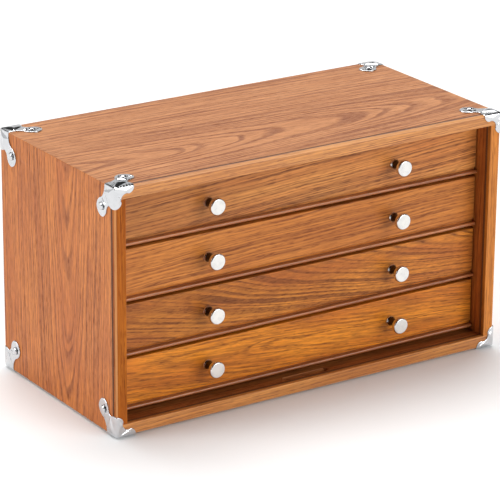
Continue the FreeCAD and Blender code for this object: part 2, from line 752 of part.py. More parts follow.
def knob_profile():
    """Half of a knob's section: distance from its axis, and height above the drawer front."""
    reach, head, radius = S["knob_reach"].value, S["knob_head"].value, S["knob_radius"].value
    foot_r, neck, foot_h = S["knob_foot"].value, S["knob_neck"].value, S["knob_foot_height"].value
    bore = S["knob_screw_radius"].value + S["grip_play"].value
    depth = S["knob_screw_grip"].value
    rim = 1.0
    under = reach - head

    def point(r, h):
        return Vector(r, 0, h)

    def line(a, b):
        return Part.LineSegment(point(*a), point(*b)).toShape()

    def arc(a, b, c):
        return Part.Arc(point(*a), point(*b), point(*c)).toShape()

    waist = (foot_h + under) / 2
    turn = rim * (1 - math.sqrt(0.5))
    return Part.Wire([
        line((bore, 0), (foot_r - 0.4, 0)),
        arc((foot_r - 0.4, 0), (foot_r, foot_h / 2), (foot_r - 0.5, foot_h)),
        arc((foot_r - 0.5, foot_h), (neck, waist), (radius - rim, under)),
        arc((radius - rim, under), (radius, (under + reach - rim) / 2), (radius, reach - rim)),
        arc((radius, reach - rim), (radius - turn, reach - turn), (radius - rim, reach)),
        line((radius - rim, reach), (0, reach)),
        line((0, reach), (0, depth)),
        line((0, depth), (bore, depth)),
        line((bore, depth), (bore, 0)),
    ])


def knobs(n):
    """The two turned metal knobs of a drawer."""
    turned = Part.Face(knob_profile()).revolve(Vector(0, 0, 0), Vector(0, 0, 1), 360)
    solids = []
    for x in knob_xs():
        knob = turned.copy()
        knob.Placement = FreeCAD.Placement(
            Vector(x.value, drawer_front_y.value, (drawer_z(n) + S["knob_lift"]).value),
            TURN_TO_FRONT)
        solids.append(knob)
    pair = doc.addObject("Part::Feature", f"knobs_{n}")
    pair.Shape = Part.makeCompound(solids)
    pair.Placement = FreeCAD.Placement()
    return keep(pair, f"drawer_{n}_knobs")


def knob_screws(n):
    """The machine screws that hold the knobs, put in from inside the drawer."""
    screws = []
    start = drawer_front_y + S["front_board"]
    for i, x in enumerate(knob_xs()):
        z = drawer_z(n) + S["knob_lift"]
        head = cylinder(f"knob_screw_{n}_{i}_head", (x, start, z), S["knob_screw_head"],
                        S["knob_screw_head_height"], TURN_TO_Y)
        shank = cylinder(f"knob_screw_{n}_{i}_shank",
                         (x, start + S["knob_screw_head_height"] / 2, z), S["knob_screw_radius"],
                         S["front_board"] + S["knob_screw_grip"] - S["hole_play"]
                         + S["knob_screw_head_height"] / 2, TURN_TO_FRONT)
        screws.append(fuse(f"knob_screw_{n}_{i}", [head, shank]))
    return keep(group(f"knob_screws_{n}", screws), f"drawer_{n}_knob_screws")


# ---------------------------------------------------------------- the whole case

def build():
    top_strip_z = foot + H - T
    flat_panel("top_panel", top_strip_z, False)
    cover_slot(flat_panel("bottom_panel", foot, True))
    side_panel("left_panel", -W / 2, False)
    side_panel("right_panel", W / 2 - T, True)
    back_panel()
    long_strip = (W, S["edge_depth"], T)
    short_strip = (T, S["edge_depth"], H - 2 * T)
    edge_strip("top_edge", (-W / 2, top_strip_z), long_strip, "x", z=T.value)
    edge_strip("bottom_edge", (-W / 2, foot), long_strip, "x", z=0.0)
    edge_strip("left_edge", (-W / 2, foot + T), short_strip, "z", x=0.0)
    edge_strip("right_edge", (W / 2 - T, foot + T), short_strip, "z", x=T.value)
    metal_corners()
    back_screws()
    runners("left", 1)
    runners("right", -1)
    runner_screws()
    for n in range(1, COUNT + 1):
        drawer_front(n)
        drawer_bead(n)
        drawer_side(n, "left")
        drawer_side(n, "right")
        drawer_rear(n)
        drawer_base(n)
        dividers(n)
        knobs(n)
        knob_screws(n)


def check_and_export():
    """Stop on any failed object or bad shape, then write one STEP file for each sub-part."""
    doc.recompute()
    bad = [o.Name for o in doc.Objects if "Invalid" in o.State or "Error" in o.State]
    if bad:
        raise RuntimeError(f"failed objects: {bad}")
    for part in parts:
        solids = part.Shape.Solids
        if part.Shape.isNull() or not part.Shape.isValid() or not solids:
            raise RuntimeError(f"bad shape: {part.Label}")
        if min(solid.Volume for solid in solids) <= 0:
            raise RuntimeError(f"a solid of {part.Label} is inside out")
    os.makedirs("parts", exist_ok=True)
    for part in parts:
        part.Shape.exportStep(f"parts/{part.Label}.step")
    print(len(parts), "sub-parts written")


build()
check_and_export()
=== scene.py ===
# %% [markdown]
# # A table-top type case
#
# The real thing is a small oak cabinet. A box of veneered boards has solid oak strips round its
# open front, a plated casting over every corner, and four drawers that sit back in the opening.
# Each drawer front ends in a half-round bead, and has two turned knobs.
#
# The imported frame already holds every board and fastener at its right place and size. This lesson
# gives them what a drawing leaves out: softened edges, grain that runs the right way on each board,
# castings that look poured, and light that makes plated metal look like metal.

# %% load the frame
import json
import math

import bmesh
import bpy
from mathutils import Euler, Matrix, Vector
from mathutils.kdtree import KDTree

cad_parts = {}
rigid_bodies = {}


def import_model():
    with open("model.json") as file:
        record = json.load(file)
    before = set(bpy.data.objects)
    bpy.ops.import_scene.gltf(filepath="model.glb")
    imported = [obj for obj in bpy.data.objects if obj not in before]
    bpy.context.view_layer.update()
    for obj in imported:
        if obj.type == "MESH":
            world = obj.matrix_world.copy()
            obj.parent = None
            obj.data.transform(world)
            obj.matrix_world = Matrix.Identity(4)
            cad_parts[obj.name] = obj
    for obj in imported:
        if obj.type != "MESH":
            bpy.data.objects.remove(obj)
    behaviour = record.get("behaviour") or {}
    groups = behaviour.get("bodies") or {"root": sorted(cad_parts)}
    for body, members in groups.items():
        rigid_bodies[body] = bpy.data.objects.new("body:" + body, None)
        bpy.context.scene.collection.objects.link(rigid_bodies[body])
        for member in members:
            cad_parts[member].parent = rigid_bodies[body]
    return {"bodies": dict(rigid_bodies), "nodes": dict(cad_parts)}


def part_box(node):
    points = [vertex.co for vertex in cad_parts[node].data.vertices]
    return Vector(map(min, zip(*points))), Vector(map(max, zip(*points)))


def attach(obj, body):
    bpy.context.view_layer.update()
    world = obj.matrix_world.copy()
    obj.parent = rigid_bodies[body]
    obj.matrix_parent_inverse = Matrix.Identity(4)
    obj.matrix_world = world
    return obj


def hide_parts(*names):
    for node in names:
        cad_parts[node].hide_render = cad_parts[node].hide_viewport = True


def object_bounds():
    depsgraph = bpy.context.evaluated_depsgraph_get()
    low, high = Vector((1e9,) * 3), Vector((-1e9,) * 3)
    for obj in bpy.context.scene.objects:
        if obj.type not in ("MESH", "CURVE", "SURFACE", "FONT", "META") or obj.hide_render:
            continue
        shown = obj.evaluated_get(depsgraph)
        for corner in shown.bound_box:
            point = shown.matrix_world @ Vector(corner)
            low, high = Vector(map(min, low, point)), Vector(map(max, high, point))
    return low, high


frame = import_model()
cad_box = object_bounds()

MM = 0.001
scene = bpy.context.scene
case_low, case_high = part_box("left_panel")[0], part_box("right_panel")[1]
DRAWERS = sorted(name for name in frame["bodies"] if name.startswith("drawer_"))
print("drawers:", DRAWERS)

# %% [markdown]
# ## Two helpers for node trees
#
# Materials and Geometry Nodes are both trees. A tree can be wired by clicking or by script. In a
# script one function is enough: it adds a node, sets its properties, and gives each named input
# either a value or a link. Colours are written as the hex values that a paint chart would give, and
# turned to the linear values that the renderer adds up.

# %% helpers
def add(tree, kind, inputs=(), stops=(), **settings):
    """Add a node to a tree.

    inputs lists what its sockets get, in order, or maps a socket's name or number to it: a value,
    or another node's output. stops are a colour ramp's (position, value or colour) pairs.
    """
    node = tree.nodes.new(kind)
    for name, value in settings.items():
        setattr(node, name, value)
    for name, value in inputs.items() if isinstance(inputs, dict) else enumerate(inputs):
        if isinstance(value, bpy.types.NodeSocket):
            tree.links.new(value, node.inputs[name])
        else:
            node.inputs[name].default_value = value
    for index, (position, value) in enumerate(stops):
        elements = node.color_ramp.elements
        element = elements[index] if index < 2 else elements.new(position)
        element.position = position
        element.color = value if isinstance(value, list) else (value, value, value, 1)
    return node


def linear(hex_colour):
    """An sRGB hex colour as linear red, green, blue and alpha."""
    channels = [int(hex_colour[i:i + 2], 16) / 255 for i in (1, 3, 5)]
    return [c / 12.92 if c <= 0.04045 else ((c + 0.055) / 1.055) ** 2.4 for c in channels] + [1.0]


print("white is", [round(c, 3) for c in linear("#FFFFFF")])

# %% [markdown]
# ## Oak
#
# Oak's figure comes from its rings. A ring starts with a band of wide pores, which stain dark, and
# ends in dense wood, which stays light. A board is a cut through those nested cones, so the figure
# can be had by asking, at each point, how far it is from the tree's pith. A painted stripe pattern
# could look similar, but it wouldn't run round an edge as real grain does.
#
# So each board gets a pith: an axis somewhere behind its face. If the axis is tilted a little to
# the face, the rings come out as the arches that joiners call cathedrals. If it is far to one side,
# they come out as straight lines. Noise stretched along the grain bends the rings, and finer noise
# draws the pores as dashes. Real pores are 0.3 mm wide, and these are 0.9 mm, so that they show.

# %% grain noise
def from_pith(tree, pith, turn):
    """Millimetres from a point on the pith, with the grain led to X by turn, in degrees."""
    turn = Euler([math.radians(angle) for angle in turn])
    here = add(tree, "ShaderNodeTexCoord").outputs["Object"]
    return add(tree, "ShaderNodeMapping", {
        "Vector": here, "Location": -(turn.to_matrix() @ Vector(pith)), "Rotation": turn,
        "Scale": (1 / MM,) * 3}).outputs[0]


def grain_noise(tree, point, along, across, detail=2.0, output="Fac"):
    """Noise whose spots are about along by across millimetres, lying along the grain."""
    squeezed = add(tree, "ShaderNodeVectorMath", [point, (1 / along, 1 / across, 1 / across)],
                   operation="MULTIPLY")
    return add(tree, "ShaderNodeTexNoise", {
        "Vector": squeezed.outputs[0], "Scale": 1.0, "Detail": detail,
        "Roughness": 0.55}).outputs[output]


# %% [markdown]
# ### Growth rings
#
# A tree's years aren't equal. A wet year is wide and a dry one narrow, so the count of years is
# itself stretched by a noise with one dimension before it is cut into seasons. A Wave texture would
# give rings in one step, but all of the same width, and that is what makes painted wood look false.

# %% growth rings
SEASONS = [(0.0, 0.7), (0.08, 1.0), (0.24, 0.85), (0.4, 0.12), (0.88, 0.0), (1.0, 0.7)]


def ring_lines(tree, point, ring, sway):
    """How dark the growth ring is at each point, from 0 to 1."""
    bend = add(tree, "ShaderNodeVectorMath",
               [grain_noise(tree, point, 100, 24, 1.5, "Color"), (0.5, 0.5, 0.5)],
               operation="SUBTRACT")
    bent = add(tree, "ShaderNodeVectorMath", [bend.outputs[0], (0, sway, sway), point],
               operation="MULTIPLY_ADD")
    across = add(tree, "ShaderNodeVectorMath", [bent.outputs[0], (0, 1, 1)],
                 operation="MULTIPLY")
    radius = add(tree, "ShaderNodeVectorMath", [across.outputs[0]], operation="LENGTH")
    years = add(tree, "ShaderNodeMath", [radius.outputs["Value"], ring], operation="DIVIDE")
    weather = add(tree, "ShaderNodeTexNoise",
                  {"W": years.outputs[0], "Scale": 0.45, "Detail": 2.0},
                  noise_dimensions="1D")
    uneven = add(tree, "ShaderNodeMath", [weather.outputs["Fac"], 3.0, years.outputs[0]],
                 operation="MULTIPLY_ADD")
    season = add(tree, "ShaderNodeMath", [uneven.outputs[0]], operation="FRACT")
    rings = add(tree, "ShaderNodeValToRGB", [season.outputs[0]], stops=SEASONS)
    faint = add(tree, "ShaderNodeValToRGB", [grain_noise(tree, point, 90, 14)],
                stops=[(0.35, 0.45), (0.6, 1.0)])
    lines = add(tree, "ShaderNodeMath", [rings.outputs[0], faint.outputs[0]],
                operation="MULTIPLY")
    return lines.outputs[0]


# %% [markdown]
# ### Pores, streaks and clouds
#
# Three finer patterns lie over the rings. Pores are short dashes, and crowd in the first part of a
# year. Streaks are long and thin. Clouds are slow changes between light and dark. Each is the same
# stretched noise at another size.

# %% finer marks
def finer_marks(tree, point, lines):
    """The pores, the streaks and the clouds at each point, from 0 to 1."""
    dashes = add(tree, "ShaderNodeValToRGB", [grain_noise(tree, point, 9, 0.9, 1.0)],
                 stops=[(0.5, 0.0), (0.62, 1.0)])
    crowd = add(tree, "ShaderNodeMath", [lines, 0.75, 0.25], operation="MULTIPLY_ADD")
    pore = add(tree, "ShaderNodeMath", [dashes.outputs[0], crowd.outputs[0]],
               operation="MULTIPLY")
    streaks = add(tree, "ShaderNodeValToRGB", [grain_noise(tree, point, 60, 1.7, 3.0)],
                  stops=[(0.38, 0.0), (0.66, 1.0)])
    clouds = add(tree, "ShaderNodeValToRGB", [grain_noise(tree, point, 120, 18)],
                 stops=[(0.36, 0.0), (0.64, 1.0)])
    return pore.outputs[0], streaks.outputs[0], clouds.outputs[0]


# %% [markdown]
# ### What use and glue add, and a painted highlight
#
# Some boards darken at one end, towards the tree's heart. Where the strips were glued to the
# panels, glue and stain left a fine dark line round the front. Arrises are painted pale: partly
# as the wear of hands, and partly as a painted highlight where the light catches them.
# The first two follow a place on the case, so they read the coordinates. The third follows the
# shape, so it reads a mark that the boards' own faces carry. The real line is under a millimetre
# wide, and this one is about two and a half, so that it shows.

# %% heartwood, glue line, and wear with painted highlight
SEAM_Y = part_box("top_edge")[1].y  # the glue line between the strips and the panels
# the pale tint on arrises stands for wear, and also for a painted highlight
GLUE_TINT, WEAR_AND_HIGHLIGHT_TINT = "#3E1B0B", "#E0A068"
GLUE_CORE, GLUE_EDGE = 0.9, 1.7  # mm from the seam: fully dark, and no longer dark
HEART_AMOUNT, GLUE_AMOUNT, WEAR_AND_HIGHLIGHT_AMOUNT = 0.32, 0.9, 0.15


def age_layers(tree, heart, glued, dark):
    """The layers over the figure, each as an amount and a tint."""
    here = add(tree, "ShaderNodeSeparateXYZ",
               [add(tree, "ShaderNodeTexCoord").outputs["Object"]])
    layers = []
    if heart:
        darker = add(tree, "ShaderNodeMapRange", {
            "Value": here.outputs["X"], "From Min": heart[0] * MM, "From Max": heart[1] * MM,
            "To Min": HEART_AMOUNT, "To Max": 0.0})
        layers.append((darker.outputs[0], dark))
    if glued:
        off = add(tree, "ShaderNodeMath", [here.outputs["Y"], SEAM_Y], operation="SUBTRACT")
        away = add(tree, "ShaderNodeMath", [off.outputs[0]], operation="ABSOLUTE")
        seam = add(tree, "ShaderNodeMapRange", {
            "Value": away.outputs[0], "From Min": GLUE_CORE * MM, "From Max": GLUE_EDGE * MM,
            "To Min": GLUE_AMOUNT, "To Max": 0.0})
        layers.append((seam.outputs[0], GLUE_TINT))
    # arrises are lightened towards the pale tint: partly wear, partly a painted highlight
    arris = add(tree, "ShaderNodeAttribute", attribute_name="arris")
    wear_and_highlight = add(tree, "ShaderNodeMath", [arris.outputs["Fac"], WEAR_AND_HIGHLIGHT_AMOUNT],
               operation="MULTIPLY")
    return layers + [(wear_and_highlight.outputs[0], WEAR_AND_HIGHLIGHT_TINT)]


# %% [markdown]
# ### The oak material
#
# Stained oak under a satin oil is a dielectric: its colour is all in the base, and its gloss is
# weak and broken by the open pores, which are dull and sunk. So the same patterns that darken the
# wood also roughen it and press it in. Bump is enough for that, because a pore is only 0.15 mm
# deep.

# %% the oak material
PORE_DEPTH = 0.15  # mm
VARNISH_IOR = 1.5


def wood(name, pith, turn=(0, 0, 0), ring=3.0, sway=7.0, figure=0.6, pores=0.8, streak=0.5,
         light="#D08A52", middle="#BC7440", dark="#6E3517", gloss=0.42, shine=0.3,
         heart=None, glued=False):
    """A ring-porous wood with a satin oil finish.

    pith is a point on the tree's axis, and turn leads the grain to X. ring is the width of a year,
    and sway is how far the rings wander, in millimetres. figure, pores and streak say how dark each
    pattern is. heart gives two places along X: the wood darkens from the second to the first. glued
    draws the glue line round the front.
    """
    material = bpy.data.materials.new(name)
    material.use_nodes = True
    tree = material.node_tree
    shader = tree.nodes["Principled BSDF"]
    point = from_pith(tree, pith, turn)
    lines = ring_lines(tree, point, ring, sway)
    pore, streaks, clouds = finer_marks(tree, point, lines)

    layers = [(clouds, light)]
    for pattern, strength in ((streaks, streak), (lines, figure), (pore, pores)):
        amount = add(tree, "ShaderNodeMath", [pattern, strength], operation="MULTIPLY")
        layers.append((amount.outputs[0], dark))
    colour = linear(middle)
    for amount, tint in layers + age_layers(tree, heart, glued, dark):
        colour = add(tree, "ShaderNodeMix", {0: amount, 6: colour, 7: linear(tint)},
                     data_type="RGBA").outputs[2]
    tree.links.new(colour, shader.inputs["Base Color"])

    rough = add(tree, "ShaderNodeMath", [pore, 0.2, gloss], operation="MULTIPLY_ADD")
    tree.links.new(rough.outputs[0], shader.inputs["Roughness"])
    sunk = add(tree, "ShaderNodeMath", [pore, 0.7], operation="MULTIPLY")
    relief = add(tree, "ShaderNodeMath", [lines, 0.3, sunk.outputs[0]],
                 operation="MULTIPLY_ADD")
    bump = add(tree, "ShaderNodeBump", {"Height": relief.outputs[0], "Strength": 0.6,
                                        "Distance": PORE_DEPTH * MM}, invert=True)
    tree.links.new(bump.outputs[0], shader.inputs["Normal"])
    shader.inputs["IOR"].default_value = VARNISH_IOR
    shader.inputs["Specular IOR Level"].default_value = shine
    return material


# %% [markdown]
# ## Boards with softened edges
#
# A planed board never has a perfect edge. Glass paper takes it off, and the narrow round that is
# left catches the light. It is also painted pale, partly as wear and partly as a painted highlight.
# It could be drawn into the CAD, but it is a finish, not a size, so it is made here. First come the
# steps that every piece needs, from a merged copy of the CAD's loose triangles to the end of its
# modifiers.

# %% steps that every piece needs
def merged_copy(node):
    """The node's mesh as a bmesh whose faces share their corners."""
    mesh = bmesh.new()
    mesh.from_mesh(frame["nodes"][node].data)
    bmesh.ops.remove_doubles(mesh, verts=mesh.verts, dist=0.002 * MM)
    return mesh


def written(name, mesh):
    """Write a bmesh down as a mesh."""
    data = bpy.data.meshes.new(name)
    mesh.to_mesh(data)
    mesh.free()
    return data


def placed(name, data):
    """Put a new object into the scene."""
    thing = bpy.data.objects.new(name, data)
    scene.collection.objects.link(thing)
    return thing


def as_piece(name, mesh, body, material, slot, node):
    """Put a finished bmesh into the scene, as the piece that stands for a CAD node."""
    data = written(name, mesh)
    data.shade_smooth()
    piece = placed(name, data)
    data.materials.append(material)
    return settle(piece, body, slot, node)


def settle(piece, body, slot, *nodes):
    """Tie a piece to its body, and hide the CAD nodes that it stands for. slot is not used."""
    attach(piece, body)
    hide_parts(*nodes)
    return piece


def applied(piece):
    """Make what the modifiers show the piece's own mesh, and remove them."""
    graph = bpy.context.evaluated_depsgraph_get()
    data = bpy.data.meshes.new_from_object(piece.evaluated_get(graph))
    piece.modifiers.clear()
    piece.data = data
    return piece


# %% [markdown]
# A Bevel modifier would take off every arris, but also the rims of the screw holes, whose short
# edges would fold over each other. So the bevel is asked for in mesh code, on the long edges alone.
# Its faces are marked for a pale tint, partly wear and partly a painted highlight, and the rounded
# front corners are marked more, for a brighter painted highlight there.

# %% softened boards
SHARP = math.radians(35)  # a corner this sharp is an arris
HOLE_RIM = 3 * MM  # edges shorter than this run round a hole, and stay crisp
# marks for the pale arris tint, which is partly wear and partly a painted highlight
ARRIS_WEAR_AND_HIGHLIGHT, ROUND_WEAR_AND_HIGHLIGHT = 1.0, 4.0  # marks for an arris, and for the front's rounded corners
SLANT = 0.2  # a normal that leans this much is on neither of two faces


def board(node, material, slot, round_off=0.35, body="case"):
    """A CAD board with its long arrises taken off by round_off millimetres."""
    mesh = merged_copy(node)
    layer = mesh.faces.layers.float.new("arris")
    for face in mesh.faces:
        across = max(abs(face.normal.x), abs(face.normal.z))
        on_round = abs(face.normal.y) > SLANT and across > SLANT
        # the front's rounded corners get the strongest pale tint, a painted highlight where light
        # catches them
        face[layer] = ROUND_WEAR_AND_HIGHLIGHT if on_round and face.calc_center_median().y < SEAM_Y else 0.0
    long_arris = [e for e in mesh.edges if len(e.link_faces) == 2
                  and e.calc_face_angle() > SHARP and e.calc_length() > HOLE_RIM]
    rounded = bmesh.ops.bevel(mesh, geom=long_arris, offset=round_off * MM, segments=2,
                              profile=0.5, affect="EDGES", clamp_overlap=False,
                              loop_slide=True)["faces"]
    for face in rounded:
        face[layer] = ARRIS_WEAR_AND_HIGHLIGHT
    piece = as_piece(f"{node}_finished", mesh, body, material, slot, node)
    piece.data.set_sharp_from_angle(angle=SHARP)
    flat = piece.modifiers.new("flat faces", "WEIGHTED_NORMAL")
    flat.weight, flat.keep_sharp = 100, True
    return applied(piece)


# %% [markdown]
# ## The case
#
# The top, the sides and the bottom are veneered boards, mitred at the corners. The top's figure is
# a row of long arches that point to the right, and the left side's arches point down. The solid
# strips round the front were cut from straighter wood, and took a redder stain.

# %% case boards
top_z = case_high.z / MM
half_width = case_high.x / MM
CASE_WOODS = {
    "top": dict(pith=(30, -34, top_z - 36), turn=(0, -4.5, 0), ring=3.3, sway=5, figure=0.8,
                pores=0.7, streak=0.4, light="#D5935E", middle="#C58350", dark="#7C3F1E"),
    "left": dict(pith=(-half_width + 24, -17, 80), turn=(0, 94.5, 0), ring=3.1, sway=5,
                 figure=0.65, pores=0.8, streak=0.4, light="#DA843B", middle="#C87231",
                 dark="#743413"),
    "right": dict(pith=(half_width - 30, -12, 140), turn=(0, 86, 0), ring=2.7, sway=7,
                  figure=0.5, light="#CC7630", middle="#B76427", dark="#743413"),
    # The bottom's colours are darker than the other panels': painted shade for the dim floor of the
    # recess under the drawers.
    "bottom": dict(pith=(0, 40, -30), turn=(0, 3, 0), ring=3.1, sway=6, light="#C2763A",
                   middle="#A9602B", dark="#5E2A0E"),
    "back": dict(pith=(60, 130, 120), turn=(0, 0, 3), ring=3.3, sway=8),
}
for side, grain in CASE_WOODS.items():
    board(f"{side}_panel", wood(f"oak_veneer_{side}", glued=True, **grain), "case_wood")
print("panels:", ", ".join(CASE_WOODS))

# %% [markdown]
# ### Edge strips and runners
#
# The strips hide the veneer's edges. The two along the front came from one board, and the two
# uprights from two others, the left one darker. Their grain follows their own length, so each
# direction needs a wood with its pith turned. The runners inside are hard, close-grained beech,
# left bare, because a drawer slides badly on a varnished runner.

# %% edge strips and runners
STRIP_ROUND = 0.25  # mm
strip_along = wood("oak_strip_along", (0, 20, -160), (0, 1, 0), 2.8, 5, figure=0.5,
                   gloss=0.3, shine=0.6, light="#DD964B", middle="#C87E3A", dark="#87461B",
                   glued=True)
strip_up = wood("oak_strip_upright", (0, -60, 0), (0, 91, 0), 2.4, 5, figure=0.4,
                light="#BE6C1C", middle="#AA5815", dark="#733206", shine=0.12, glued=True)
board("top_edge", strip_along, "edge_wood", STRIP_ROUND)
board("bottom_edge", strip_along, "edge_wood", STRIP_ROUND)
strip_up_light = wood("oak_strip_upright_light", (0, -60, 40), (0, 91, 0), 2.6, 5, figure=0.4,
                      light="#DF8A34", middle="#C97A2E", dark="#82430F", glued=True)
board("left_edge", strip_up, "edge_wood", STRIP_ROUND)
board("right_edge", strip_up_light, "edge_wood", STRIP_ROUND)

runner_beech = wood("beech_runner", (0, 0, -300), (0, 0, -90), 1.6, 3, figure=0.15, pores=0.2,
                    streak=0.2, light="#CDA77A", middle="#C1976A", dark="#8E6840", gloss=0.5)
board("left_runners", runner_beech, "runner_wood")
board("right_runners", runner_beech, "runner_wood")

# %% [markdown]
# ## The drawers
#
# The fronts were cut from four different boards, and each shows it: the first has tight ridges that
# fan out from the left, the second is calm, the third has strong arches at its upper right corner,
# and the fourth is the most golden and the most crossed. Behind the fronts the drawers are bare,
# paler wood.

# %% drawer woods
front_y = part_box("drawer_1_front")[0].y / MM


def front_centre(number):
    """Height in millimetres of the middle of a drawer's front."""
    low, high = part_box(f"drawer_{number}_front")
    return (low.z + high.z) / 2 / MM


FRONTS = {
    1: dict(pith=(-60, front_y + 16, front_centre(1) - 62), turn=(0, 3.2, 0), ring=3.0, sway=4,
            figure=0.65, streak=0.35, heart=(-178, 80), light="#DF954B", middle="#CA7C3B",
            dark="#602F11"),
    2: dict(pith=(60, front_y + 12, front_centre(2) - 48), turn=(0, 2.0, 0), ring=3.6, sway=8,
            figure=0.6, streak=0.35, light="#D58538", middle="#C0712C", dark="#713610"),
    3: dict(pith=(168, front_y + 8, front_centre(3) + 22), turn=(0, -3, 7), ring=3.0, sway=4,
            figure=0.75, streak=0.4, heart=(-178, 120), light="#E38E31", middle="#C36F29",
            dark="#632E08"),
    4: dict(pith=(-147, front_y + 14, front_centre(4) + 14), turn=(0, -5, 3), ring=2.9,
            sway=11, figure=0.5, light="#EF9323", middle="#CF751E", dark="#71390A"),
}
BARE = dict(ring=2.2, sway=5, figure=0.18, pores=0.12, streak=0.25, light="#D9BC8F",
            middle="#CDAC7C", dark="#9A7748", gloss=0.6, shine=0.3)
bare_side = wood("bare_basswood_sides", (0, 0, -200), (0, 0, -90), **BARE)
bare_across = wood("bare_basswood_across", (0, 90, -140), (0, 1, 0), **BARE)

# %% drawer boards
for drawer in DRAWERS:
    number = int(drawer[-1])
    board(f"{drawer}_front", wood(f"oak_front_{number}", **FRONTS[number]), "drawer_wood",
          0.4, drawer)
    for side in ("left_side", "right_side"):
        board(f"{drawer}_{side}", bare_side, "inner_wood", 0.3, drawer)
    for part in ("back", "bottom"):
        board(f"{drawer}_{part}", bare_across, "inner_wood", 0.25, drawer)

# %% [markdown]
# ## Beads
#
# A bead is a moulding: one section, drawn along one line. That is just what Curve to Mesh does, so
# a small tree makes it. Three helpers serve this tree and the later ones: one starts a tree with
# named inputs, one ends it, and one runs it and keeps the result as a plain mesh.

# %% helpers for geometry trees
def new_tree(name, sockets):
    """An empty geometry tree with named inputs. sockets maps each name to its socket type."""
    tree = bpy.data.node_groups.new(name, "GeometryNodeTree")
    tree.is_modifier = True
    for socket, kind in sockets.items():
        tree.interface.new_socket(socket, in_out="INPUT", socket_type=f"NodeSocket{kind}")
    tree.interface.new_socket("Geometry", in_out="OUTPUT", socket_type="NodeSocketGeometry")
    return tree, add(tree, "NodeGroupInput").outputs


def finish_tree(tree, geometry, material):
    """Every tree ends the same way: real geometry, in its material."""
    real = add(tree, "GeometryNodeRealizeInstances", {0: geometry})
    painted = add(tree, "GeometryNodeSetMaterial", {0: real.outputs[0], "Material": material})
    add(tree, "NodeGroupOutput", {0: painted.outputs[0]})
    return tree


def grow(name, tree, values, points=()):
    """Run a tree on an object made of loose points, and keep the result as a plain mesh."""
    data = bpy.data.meshes.new(name)
    data.from_pydata([place for place, _ in points], [], [])
    facing = data.attributes.new("facing", "FLOAT_VECTOR", "POINT")
    for item, (_, way) in zip(facing.data, points):
        item.vector = way
    piece = placed(name, data)
    modifier = piece.modifiers.new(tree.name, "NODES")
    modifier.node_group = tree
    for item in tree.interface.items_tree:
        if item.in_out == "INPUT" and item.name in values:
            modifier[item.identifier] = values[item.name]
    return applied(piece)


# %% [markdown]
# The section is a flat bar whose front is rounded right over, while its back stays square, to sit
# in the rebate of the drawer front. A fillet takes a radius for each corner, so the corners at the
# back are given none. The tree's inputs are the bead's two ends and its sizes.

# %% the bead tree
NOSE = 0.49  # radius of the rounded front, as a part of the bead's height
bead_tree, given = new_tree("draw_bead", {
    "Geometry": "Geometry", "Start": "Vector", "End": "Vector", "Width": "Float",
    "Height": "Float", "Material": "Material"})
section = add(bead_tree, "GeometryNodeCurvePrimitiveQuadrilateral",
              {"Width": given["Width"], "Height": given["Height"]})
place = add(bead_tree, "GeometryNodeInputPosition")
side = add(bead_tree, "ShaderNodeSeparateXYZ", [place.outputs[0]])
is_front = add(bead_tree, "ShaderNodeMath", [side.outputs["X"], 0.0], operation="GREATER_THAN")
nose = add(bead_tree, "ShaderNodeMath", [given["Height"], NOSE], operation="MULTIPLY")
radius = add(bead_tree, "ShaderNodeMath", [nose.outputs[0], is_front.outputs[0]],
             operation="MULTIPLY")
rounded = add(bead_tree, "GeometryNodeFilletCurve",
              {"Curve": section.outputs[0], "Radius": radius.outputs[0], "Count": 8},
              mode="POLY")
line = add(bead_tree, "GeometryNodeCurvePrimitiveLine",
           {"Start": given["Start"], "End": given["End"]})
bar = add(bead_tree, "GeometryNodeCurveToMesh",
          {"Curve": line.outputs[0], "Profile Curve": rounded.outputs[0], "Fill Caps": True})
finish_tree(bead_tree, bar.outputs[0], given["Material"])

# %% beads
bead_oak = wood("oak_bead", (0, 10, -120), (0, 0.8, 0), 1.8, 4, figure=0.4,
                light="#C47B46", middle="#AC6433", dark="#692F10", gloss=0.28, shine=0.6)
for drawer in DRAWERS:
    low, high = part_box(f"{drawer}_bead")
    middle = (low + high) / 2
    bead = grow(f"{drawer}_bead_moulding", bead_tree, {
        "Start": (low.x, middle.y, middle.z), "End": (high.x, middle.y, middle.z),
        "Width": high.y - low.y, "Height": high.z - low.z, "Material": bead_oak})
    bead.data.set_sharp_from_angle(angle=math.radians(40))
    settle(bead, drawer, "edge_wood", f"{drawer}_bead")
    print(bead.name, [round(d / MM, 1) for d in bead.dimensions])

# %% [markdown]
# ## Turned metal
#
# Knobs, nails and screws are turned on a lathe, so they are made the same way here: half a section
# is spun round an axis. The section is a short list of corners, each given as its distance from the
# axis and its height. Cutting the corners off three times over rounds them. A corner that has to
# stay crisp is written twice.

# %% the lathe
def round_corners(corners, times=3):
    """Cut every corner of an open line a quarter of the way along its two sides."""
    for _ in range(times):
        cut = [corners[0]]
        for a, b in zip(corners, corners[1:]):
            a, b = Vector(a), Vector(b)
            cut += [a.lerp(b, 0.25), a.lerp(b, 0.75)]
        corners = cut + [corners[-1]]
    return corners


def turned(name, corners, steps=40):
    """A closed solid, spun round Z from half a section in millimetres."""
    mesh = bmesh.new()
    line = [mesh.verts.new((r * MM, 0, h * MM)) for r, h in round_corners(corners)]
    edges = [mesh.edges.new(pair) for pair in zip(line, line[1:])]
    bmesh.ops.spin(mesh, geom=line + edges, axis=(0, 0, 1), cent=(0, 0, 0),
                   angle=2 * math.pi, steps=steps, use_merge=True)
    bmesh.ops.remove_doubles(mesh, verts=mesh.verts, dist=0.003 * MM)
    bmesh.ops.recalc_face_normals(mesh, faces=mesh.faces)
    data = written(name, mesh)
    data.shade_smooth()
    return bpy.data.objects.new(name, data)
